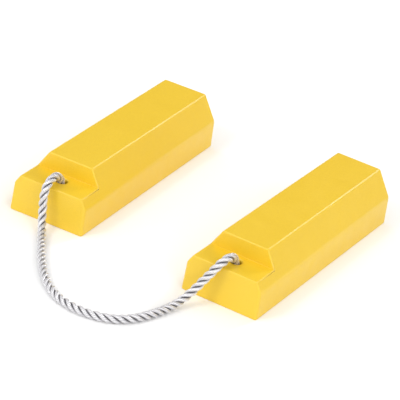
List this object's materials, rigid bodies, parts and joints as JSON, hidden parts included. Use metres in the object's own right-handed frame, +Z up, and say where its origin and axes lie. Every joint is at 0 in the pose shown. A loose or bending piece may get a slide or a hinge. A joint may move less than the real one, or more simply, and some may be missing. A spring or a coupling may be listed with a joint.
{
  "type": "wheel chock pair",
  "caption": "Pair of solid cast urethane wheel chocks with six-sided section and lowered rope deck, joined by a twisted rope knotted under each chock.",
  "frame": {"origin": "on the floor, at the bottom centre of the box round the two chocks, midway between them", "axes": "+Z up; +Y along the chocks, away from their rope ends; +X across, from chock A to chock B"},
  "size_m": [0.3274, 0.4484, 0.0621],
  "materials": {
    "urethane": "satin cast urethane, safety yellow",
    "rope": "white three-strand twisted synthetic rope with a soft sheen",
    "zinc_steel": "zinc plated"
  },
  "bodies": {
    "chock_a": {"chock_a": "urethane"},
    "rope_a": {"rope_a": "rope", "knot_a": "rope", "washer_a": "zinc_steel"},
    "rope_b": {"rope_b": "rope", "knot_b": "rope", "washer_b": "zinc_steel"},
    "chock_b": {"chock_b": "urethane"}
  },
  "joints": [
    {"name": "rope_swivel_a", "type": "hinge", "parent": "chock_a", "child": "rope_a", "pos_m": [-0.1122, -0.11997, 0.036], "axis": [0, 0, 1], "range_deg": [-20, 15]},
    {"name": "rope_flex", "type": "hinge", "parent": "rope_a", "child": "rope_b", "pos_m": [0.007, -0.281, 0.0048], "axis": [0, 0, 1], "range_deg": [-90, 5]},
    {"name": "rope_swivel_b", "type": "hinge", "parent": "rope_b", "child": "chock_b", "pos_m": [0.1122, -0.13697, 0.036], "axis": [0, 0, 1], "range_deg": [-30, 5]}
  ]
}
